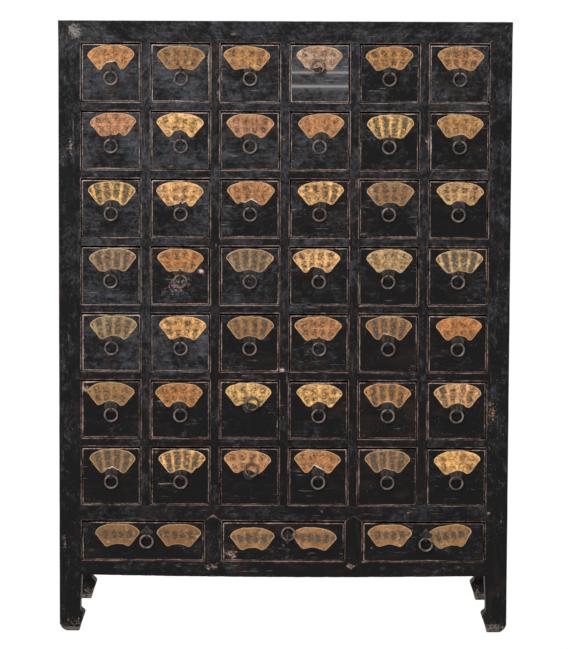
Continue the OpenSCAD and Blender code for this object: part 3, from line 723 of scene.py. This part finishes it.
for node in ("drawer_runners", "bottom_boards"):
    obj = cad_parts[node]
    obj.data.materials.clear()
    obj.data.materials.append(INNER_WOOD)


# ---------- ring pulls ----------
def tube(build, centres, frames, section, closed, seed, wobble=0.0):
    """Sweeps a section along centres; frames gives the two section directions at each one."""
    rings = []
    for centre, (a, b2) in zip(centres, frames):
        rings.append([centre + a * u + b2 * v for u, v in section])
    points = np.array([p for ring in rings for p in ring], float)
    middle = np.repeat(np.array(centres, float), len(section), axis=0)
    points += (points - middle) * (wobble * ripple(points, 14.0, seed))[:, None]
    faces = loft(rings, closed_path=closed)
    n = len(points)
    build.add(points, faces, [0] * len(faces), grain=points * MM + seed * 0.37, edge=np.full(n, 20.0),
              wear=np.zeros(n), tone=np.zeros(n))


def ring_mesh(build, pivot, swing, lean, lift, seed):
    """A ring hung from the pivot, swung out and up by swing and leaning by lean, in degrees."""
    r = (RING_D - WIRE_D) / 2
    angles = [k * math.pi / 7 for k in range(14)]
    section = [(WIRE_D / 2 * math.cos(a), WIRE_D / 2 * math.sin(a)) for a in angles]
    pose = Matrix.Rotation(math.radians(-swing), 3, "X") @ Matrix.Rotation(math.radians(lean), 3, "Y")
    centres, frames = [], []
    steps = 56
    for k in range(steps):
        a = 2 * math.pi * k / steps
        out = Vector((math.sin(a), 0, math.cos(a)))
        place = pose @ (Vector((0, 0, -r)) + out * r)
        centres.append(np.array(pivot) + np.array((place.x, place.y, place.z + lift)))
        frames.append((np.array(pose @ out), np.array(pose @ Vector((0, 1, 0)))))
    tube(build, centres, frames, section, True, seed, 0.07)


def staple_mesh(build, pivot, seed):
    """A split-pin staple bent from flat strap: tall eye, legs through the front, ends bent over inside."""
    half, mid = STRAP_T / 2, (EYE_H - EYE_D) / 2
    r = EYE_D / 2 - half
    back = FRONT_T + PIVOT_DEPTH + GLUE + half
    top, low = mid + EYE_H / 2 - EYE_D / 2, mid - EYE_H / 2 + EYE_D / 2
    leg = [(back, 12.5), (back, 4), (back - 0.6, 2), (back - 2.5, 1.05), (EYE_D / 2 + 3, 1.05), (r + 1.2, 1.2),
           (r, 2.8)]
    path = [(y, PULL_LIFT + z) for y, z in leg]
    path += [(r * math.cos(a), top + r * math.sin(a)) for a in (k * math.pi / 10 for k in range(11))]
    path += [(-r, (top + low) / 2)]
    path += [(-r * math.cos(a), low - r * math.sin(a)) for a in (k * math.pi / 10 for k in range(11))]
    path += [(y, PULL_LIFT - z) for y, z in reversed(leg)]
    w, c = EYE_W / 2, 0.45
    section = [(w, half - c), (w - c, half), (0, half + 0.1), (c - w, half), (-w, half - c),
               (-w, c - half), (c - w, -half), (0, -half - 0.1), (w - c, -half), (w, c - half)]
    centres, frames = [], []
    for k, (y, z) in enumerate(path):
        y0, z0 = path[max(0, k - 1)]
        y1, z1 = path[min(len(path) - 1, k + 1)]
        size = math.hypot(y1 - y0, z1 - z0)
        narrow = 1.0 if 6 < k < len(path) - 7 else 0.92
        centres.append(np.array(pivot) + np.array((0.0, y, z)))
        frames.append((np.array((narrow, 0, 0)), np.array((0, -(z1 - z0) / size, (y1 - y0) / size)) * narrow))
    tube(build, centres, frames, section, False, seed, 0.03)


def plate_mesh(build, centre, outline, seed):
    """A thin hammered back plate, thickest in the middle. centre is on the drawer front and
    outline(angle) is the plate's reach."""
    shares, around = (0.0, 0.18, 0.4, 0.6, 0.78, 0.92, 1.0, 1.0), 48
    points, edges = [], []
    for ring, share in enumerate(shares):
        for k in range(around):
            a = 2 * math.pi * k / around
            reach = share * outline(a)
            rise = 0.02 if ring == len(shares) - 1 else 0.75 + 1.25 * (1 - share ** 2)
            points.append((centre[0] + reach * math.cos(a), centre[1] - rise, centre[2] + reach * math.sin(a)))
            edges.append((1 - share) * outline(a))
    points = np.array(points)
    points[:, 1] += 0.10 * ripple(points, 9.0, seed) * (np.array(edges) > 0.5)
    faces = loft([range(around)] * len(shares), caps=False)
    faces = [f for f in faces if not all(v < around for v in f)]
    n = len(points)
    build.add(points, faces, [0] * len(faces), grain=points * MM + seed * 0.61, edge=np.array(edges),
              wear=np.zeros(n), tone=np.zeros(n))


def round_outline(seed):
    rng = random.Random(seed)
    phase, size = rng.uniform(0, 6), PLATE_D / 2 - rng.uniform(0, 1)
    return lambda a: size * (1 + 0.018 * math.sin(3 * a + phase) + 0.01 * math.sin(5 * a - phase))


def lozenge_outline(a):
    c, s = abs(math.cos(a)), abs(math.sin(a))
    return 1.0 / (c / 18.6 + s / 19.6) * (1 - 0.10 * math.sin(2 * a) ** 2)


# ---------- labels ----------
# Paper colours: orange, deep orange, pinkish, ochre, tan, grey-brown, brown, bleached, dark.
TONES = {"o": (0.46, 0.215, 0.082), "d": (0.47, 0.195, 0.060), "p": (0.48, 0.225, 0.110),
         "y": (0.78, 0.420, 0.145), "t": (0.54, 0.335, 0.150), "g": (0.28, 0.205, 0.105),
         "b": (0.29, 0.155, 0.062), "w": (0.43, 0.305, 0.19), "k": (0.185, 0.092, 0.036)}
# Judged for each drawer: its paper, how much ink and how much tearing (out of nine), half the
# rise of its lower edge and how far it is to the right of the middle of the drawer, in millimetres.
PAPERS = ("obowdo", "pypoyo", "yyoybt", "gdgytt", "gybobd", "bdyydy", "bypoby")
INKS = ("355465", "344393", "954865", "848659", "868584", "544597", "994393")
TEARS = ("642523", "533236", "378344", "552524", "434463", "542363", "763753")
RISES = ("912332", "185714", "625345", "312642", "434256", "674665", "544644")
SHIFTS = ((0, 1, -9, -1, -1, 3), (6, -1, 1, 3, 3, 2), (3, -2, 3, 3, 4, 4), (5, 1, 0, -7, 3, 4),
          (6, 7, 2, -2, 2, 3), (0, -3, -2, 3, -1, 2), (4, 4, -5, -2, 1, 2))
# The wide drawers' papers take dark tones: partly their own colour, partly painted shade, darker towards the
# bottom of the case.
WIDE_PAPERS, WIDE_INKS, WIDE_TEARS = ("kk", "bb", "bb"), ("77", "99", "88"), ("12", "43", "12")

# Half outlines of a label: distance from its middle, then height under its top.
LABEL_TOP = [(0, 0), (26, -1.3), (42, -6.0), (52, -11.5), (58, -17.0), (60.4, -21.5), (61, -24)]
LABEL_LOW = [(0, -61), (26, -63), (33, -62), (38, -57), (46, -46.5), (54, -36), (58.5, -30.5),
             (60.5, -28), (61, -26)]


def ink_sites(every, edge, height, ink, seed, single_row):
    """Where smudges of ink can show, from 0 to 1: one row of them, or columns of two."""
    fan = every[:, 0] / (1 + 0.0055 * (every[:, 1] + height / 2))
    if single_row:
        columns = np.clip(1.25 - np.abs(np.abs((fan / 21.0) % 1.0 - 0.5) * 2 - 0.05) * 1.25, 0, 1)
        rows = np.clip(1.6 - np.abs(every[:, 1] + 0.47 * height) / 9.0, 0, 1)
        return columns * rows * np.clip((edge - 3.0) / 5.0, 0, 1)
    place_x, place_z = fan / 24.0 + 2, (-every[:, 1] - 8.0) / 23.0
    across = np.abs(place_x % 1.0 - 0.5) * 24
    down = np.abs(place_z % 1.0 - 0.5) * 23
    strengths = np.random.default_rng(seed).uniform(0.6, 1.0, (5, 4))
    site = strengths[np.clip(place_x, 0, 4).astype(int), np.clip(place_z, 0, 3).astype(int)]
    rows = np.maximum(np.clip((11.0 - down) / 4.0, 0, 1), min(1.0, max(0, ink - 5) / 4))
    return np.clip((9.5 - across) / 4.0, 0, 1) * rows * site * np.clip((edge - 2.0) / 3.0, 0, 1)


def label_mesh(build, centre_x, top_z, face_y, seed, width, height, rise, tone, ink, tear, lean,
               single_row, pull=None):
    """A fan-shaped paper label glued to a drawer front, with its top at top_z. Round pull, the middle
    of a back plate, it is lifted over the plate."""
    rng = random.Random(seed)
    half = width / 2
    nx, ny = 64, 18
    xs = half * np.sin(np.linspace(-math.pi / 2, math.pi / 2, nx))
    along, up = half / 61.0, height / 64.0
    wobble = ripple(np.stack([xs, xs * 0, xs * 0], 1), 26.0, seed)
    wobble2 = ripple(np.stack([xs, xs * 0 + 50, xs * 0], 1), 15.0, seed + 1)
    top_x, top_y = zip(*LABEL_TOP)
    low_x, low_y = zip(*LABEL_LOW)
    notch = rise * np.sqrt(np.clip(1 - (xs / 23.0) ** 2, 0, 1))
    skew = rng.uniform(-2.0, 2.0) * xs / half
    top = np.interp(np.abs(xs) / along, top_x, top_y) * up + 0.6 * wobble + skew
    low = np.interp(np.abs(xs) / along, low_x, low_y) * up + notch + 0.8 * wobble2 + skew
    kernel = np.array([1, 2, 1]) / 4
    low = np.convolve(np.pad(low, 1, mode="edge"), kernel, mode="valid")
    if tear >= 5:
        bite = rng.uniform(-0.6, 0.6) * half
        low += 1.2 * tear * np.exp(-((xs - bite) / 8.0) ** 2) * (0.6 + 0.4 * wobble2)
    low = np.minimum(low, top - 2.5)
    share = np.linspace(0, 1, ny)
    grid_x = np.repeat(xs[:, None], ny, 1)
    grid_z = top[:, None] * (1 - share) + low[:, None] * share
    outline = np.concatenate([np.stack([xs, top], 1), np.stack([xs, low], 1)[::-1]])
    flat = np.stack([grid_x.ravel(), grid_z.ravel()], 1)
    edge = np.sqrt(((flat[:, None, :] - outline[None]) ** 2).sum(2)).min(1)
    curl = 0.55 + 0.12 * ripple(np.stack([flat[:, 0], flat[:, 1], flat[:, 1] * 0], 1), 22.0, seed + 3)
    if pull is not None:
        over = np.hypot(flat[:, 0] + centre_x - pull[0], flat[:, 1] + top_z - pull[1]) / (PLATE_D / 2)
        curl += np.clip(2.1 - 1.1 * over ** 2, 0, None) * np.clip((1.25 - over) / 0.25, 0, 1)
    points = [[x, -c, z] for (x, z), c in zip(flat, curl)]
    count = len(points)
    border = ([(i, 0) for i in range(nx)] + [(nx - 1, j) for j in range(1, ny)]
              + [(i, ny - 1) for i in range(nx - 2, -1, -1)] + [(0, j) for j in range(ny - 2, 0, -1)])
    points += [[flat[i * ny + j, 0], 0.05, flat[i * ny + j, 1]] for i, j in border]
    faces = [[i * ny + j, i * ny + j + 1, (i + 1) * ny + j + 1, (i + 1) * ny + j]
             for i in range(nx - 1) for j in range(ny - 1)]
    for k in range(len(border)):
        (i0, j0), (i1, j1) = border[k], border[(k + 1) % len(border)]
        faces.append([count + k, i0 * ny + j0, i1 * ny + j1, count + (k + 1) % len(border)])
    points = np.array(points)
    every = np.concatenate([flat, points[count:][:, [0, 2]]])
    edge = np.concatenate([edge, np.zeros(len(border))])
    column = ink_sites(every, edge, height, ink, seed, single_row)
    sheet = np.stack([every[:, 0] / 4.6 + seed % 97, every[:, 1] / 4.6 + seed % 61, every[:, 0] * 0], 1)
    low_gap = every[:, 1] - np.interp(every[:, 0], xs, low)
    middle = np.exp(-(every[:, 0] / 26.0) ** 2) * np.clip(1 - low_gap / 11.0, 0, 1)
    torn = 0.062 * tear * middle + 0.022 * tear * np.clip(1 - edge / 7.0, 0, 1)
    grain = np.stack([every[:, 0], every[:, 1], every[:, 1] * 0 + seed * 13.0], 1) * MM + seed * 0.7
    turn = math.radians(lean)
    x = points[:, 0] * math.cos(turn) + (points[:, 2] + height / 2) * math.sin(turn)
    z = -points[:, 0] * math.sin(turn) + (points[:, 2] + height / 2) * math.cos(turn) - height / 2
    points = np.stack([x + centre_x, points[:, 1] + face_y, z + top_z], 1)
    vary = [rng.uniform(0.9, 1.08), rng.uniform(0.92, 1.06), rng.uniform(0.9, 1.1)]
    colour = np.array(TONES[tone]) * np.array(vary)
    n = len(points)
    build.add(points, faces, [0] * len(faces), grain=grain, edge=edge, wear=np.zeros(n), tone=np.zeros(n),
              sheet=sheet, column=column, ink=np.full(n, ink / 9.0), torn=torn,
              paper=np.tile([*colour, 1.0], (n, 1)))


# ---------- drawers ----------
def drawer(name, x0, z0, w, h, shift, drop, seed, place, tone, wide):
    """Front, box and pull of one drawer; x0, z0 is the lower left corner of its opening. The pull's
    pivot is shift to the right of the middle and drop under the top of the front."""
    fw, fh = w - 2 * SIDE_GAP, h - TOP_GAP - RUNNER_GAP
    side_h = fh - SIDE_DROP
    x, z = x0 + SIDE_GAP, z0 + RUNNER_GAP
    b = Build()
    b.board((x, FACE_Y, z), (x + fw, FACE_Y + FRONT_T, z + fh), 0, seed, r=2.8, step=6.0, uneven=0.22,
            inside=(3,), tone=tone, spare=0.0)
    b.piece(f"{name}_front", [DRAWER_LACQUER, BARE_WOOD], name, [name], place)
    b = Build()
    y0, y1 = FACE_Y + FRONT_T + GLUE, FACE_Y + DRAWER_L
    inner0, inner1 = x + BOX_T + GLUE, x + fw - BOX_T - GLUE
    b.board((x, y0, z), (x + BOX_T, y1, z + side_h), 1, seed + 1, step=30.0)
    b.board((x + fw - BOX_T, y0, z), (x + fw, y1, z + side_h), 1, seed + 2, step=30.0)
    b.board((inner0, y0, z + GROOVE_Z), (inner1, y1, z + GROOVE_Z + BOTTOM_T), 1, seed + 3, r=0.6, step=30.0)
    base = z + GROOVE_Z + BOTTOM_T + GLUE
    back_h = side_h - GROOVE_Z - BACK_DROP - BOTTOM_T
    b.board((inner0, y1 - BOX_T, base), (inner1, y1, base + back_h), 0, seed + 4, step=30.0)
    b.piece(f"{name}_box", [BARE_WOOD], name, (), place)
    pivot = (x0 + w / 2 + shift, FACE_Y - PIVOT_DEPTH, z0 + h - TOP_GAP - drop)
    b = Build()
    outline = lozenge_outline if wide else round_outline(seed)
    plate_mesh(b, (pivot[0], FACE_Y, pivot[2] + PULL_LIFT), outline, seed)
    b.piece(f"{name}_plate", [DARK_IRON], name, (), place)
    b = Build()
    staple_mesh(b, pivot, seed + 5)
    b.piece(f"{name}_staple", [DARK_IRON], name, (), place)
    return pivot


def bleached_bands(bands):
    """The tone of a drawer front with pale bands across it; each band has a height and a reach."""
    def tone(p):
        return 0.90 + sum(1.5 * np.exp(-((p[:, 2] - z) / reach) ** 2) for z, reach in bands)
    return tone


# Rings that were left flipped up: how far each has swung and how far it leans, in degrees. A ring that
# leans rides LEAN_LIFT higher in its eye.
RING_UP, LEAN_LIFT = 186, 1.0
RING_POSES = {(1, 4): (RING_UP, 24), (6, 3): (RING_UP, -30), (7, 3): (RING_UP, -22)}
for r in range(1, ROWS + 1):
    for c in range(1, COLUMNS + 1):
        seed = 1000 + 40 * r + 5 * c
        rng = random.Random(seed)
        name = f"drawer_row{r}_col{c}"
        middle = Vector((small_x(c) + SMALL_W / 2, FACE_Y, row_z(r) + SMALL_H / 2))
        turn = Matrix.Rotation(math.radians(rng.uniform(-0.22, 0.22)), 4, "Y")
        shift = Vector((rng.uniform(-0.8, 0.8), rng.uniform(-0.9, 0.9), rng.uniform(0.0, 0.8)))
        place = Matrix.Translation(middle + shift) @ turn @ Matrix.Translation(-middle)
        # Painted light: the fronts are lighter towards the top rows and the left columns, where the key light
        # falls, with some random spread; two in row 5 are lighter.
        painted_light_tone = 0.75 - 0.09 * (r - 1) - 0.05 * (c - 1) + rng.uniform(-0.15, 0.15)
        if r == 5 and c < 3:
            painted_light_tone += 0.30
        if (r, c) == (1, 4):
            painted_light_tone = bleached_bands(((row_z(r) + 80, 5), (row_z(r) + 43, 6)))
        pivot = drawer(name, small_x(c), row_z(r), SMALL_W, SMALL_H, 0.0, SMALL_DROP, seed, place, painted_light_tone, False)
        swing, lean = RING_POSES.get((r, c), (-rng.uniform(3, 6), rng.uniform(-3, 3)))
        b = Build()
        ring_mesh(b, pivot, swing, lean, LEAN_LIFT if swing > 0 else 0.0, seed + 9)
        b.piece(f"{name}_ring", [IRON], name, (), place)
        b = Build()
        label_x = small_x(c) + SMALL_W / 2 + SHIFTS[r - 1][c - 1]
        label_top = row_z(r) + SMALL_H - TOP_GAP - rng.uniform(1.5, 4)
        width, height = rng.uniform(120, 126), rng.uniform(62, 66)
        paper_tone, ink, tear, half_rise = (rows[r - 1][c - 1] for rows in (PAPERS, INKS, TEARS, RISES))
        label_mesh(b, label_x, label_top, FACE_Y, seed, width, height, 2 * int(half_rise), paper_tone, int(ink),
                   int(tear), rng.uniform(-1.5, 1.5), False, (pivot[0], pivot[2] + PULL_LIFT))
        b.piece(f"{name}_label", [PAPER], name, (), place)

WIDE_LABEL_SIZE, WIDE_LABEL_RISE, WIDE_LABEL_DROP = (118, 62), 5, 3
# Swing, lean and lift of the wide drawers' rings. The second leans little, so that it stays clear of its
# staple when it swings down.
WIDE_RING_POSES = {1: (-2, 1.5, 0.0), 2: (RING_UP, -8, -0.2), 3: (-2, 1.5, 0.0)}
# The two labels of each wide drawer: shift from the middle, drop under the top and lean in degrees.
WIDE_LABELS = {1: ((-68, 1, 0), (96, 1, 2)), 2: ((-83, 10, 0), (83, 9, 3)), 3: ((-91, 0, 0), (70, 1, -8))}
for i in range(1, WIDES + 1):
    seed = 2000 + 20 * i
    name = f"wide_drawer_{i}"
    # The wide fronts get a low tone of 0.25, darker like the lowest rows: painted shade towards the bottom.
    pivot = drawer(name, wide_x(i), WIDE_Z, WIDE_W, WIDE_H, *WIDE_PULLS[i], seed, None, 0.25, True)
    b = Build()
    ring_mesh(b, pivot, *WIDE_RING_POSES[i], seed + 9)
    b.piece(f"wide_ring_{i}_iron", [IRON], f"wide_ring_{i}", [f"wide_ring_{i}"])
    for k, (dx, drop, lean) in enumerate(WIDE_LABELS[i]):
        b = Build()
        label_x = wide_x(i) + WIDE_W / 2 + dx
        label_top = WIDE_Z + WIDE_H - TOP_GAP - WIDE_LABEL_DROP - drop
        paper_tone, ink, tear = (rows[i - 1][k] for rows in (WIDE_PAPERS, WIDE_INKS, WIDE_TEARS))
        label_mesh(b, label_x, label_top, FACE_Y, seed + k, *WIDE_LABEL_SIZE, WIDE_LABEL_RISE, paper_tone,
                   int(ink), int(tear), lean, True)
        b.piece(f"{name}_label_{k + 1}", [PAPER], name)

# ---------- floor, light and camera ----------
floor_mesh = bpy.data.meshes.new("floor")
floor_mesh.from_pydata([(-900, -900, 0), (900, -900, 0), (900, 900, 0), (-900, 900, 0)], [], [[0, 1, 2, 3]])
floor_mesh.materials.append(Shader("floor").finish(
    (0.04, 0.04, 0.04, 1.0), 0.8, 0.0, 0.001, Specular_IOR_Level=0.0,
    Emission_Color=(1.0, 1.0, 1.0, 1.0), Emission_Strength=1.0))
floor = bpy.data.objects.new("floor", floor_mesh)
bpy.context.scene.collection.objects.link(floor)

world = bpy.data.worlds.new("studio")
world.use_nodes = True
background = world.node_tree.nodes["Background"]
background.inputs["Color"].default_value = (1.0, 1.0, 1.0, 1.0)
background.inputs["Strength"].default_value = 1.0
bpy.context.scene.world = world

key_light = bpy.data.lights.new("key", "AREA")
key_light.shape = "RECTANGLE"
key_light.size = key_light.size_y = 1.3
key_light.energy = 210
key_light.color = (1.0, 0.99, 0.97)
key = bpy.data.objects.new("key", key_light)
key.location = (-2.6, -4.4, 4.2)
key.rotation_euler = (Vector((0.0, -0.27, 1.0)) - key.location).to_track_quat("-Z", "Y").to_euler()
bpy.context.scene.collection.objects.link(key)

camera_data = bpy.data.cameras.new("camera")
camera_data.lens = 161.6
camera_data.sensor_width = 36.0
camera = bpy.data.objects.new("camera", camera_data)
pitch, roll, yaw = math.radians(-5.054), math.radians(0.24), math.radians(0.086)
camera.matrix_world = (Matrix.Translation((0.011, FRONT_Y * MM - 7.72, 1.513))
                       @ Matrix.Rotation(yaw, 4, "Z") @ Matrix.Rotation(math.radians(90) + pitch, 4, "X")
                       @ Matrix.Rotation(roll, 4, "Z"))
bpy.context.scene.collection.objects.link(camera)
bpy.context.scene.camera = camera
bpy.context.scene.view_settings.view_transform = "Standard"
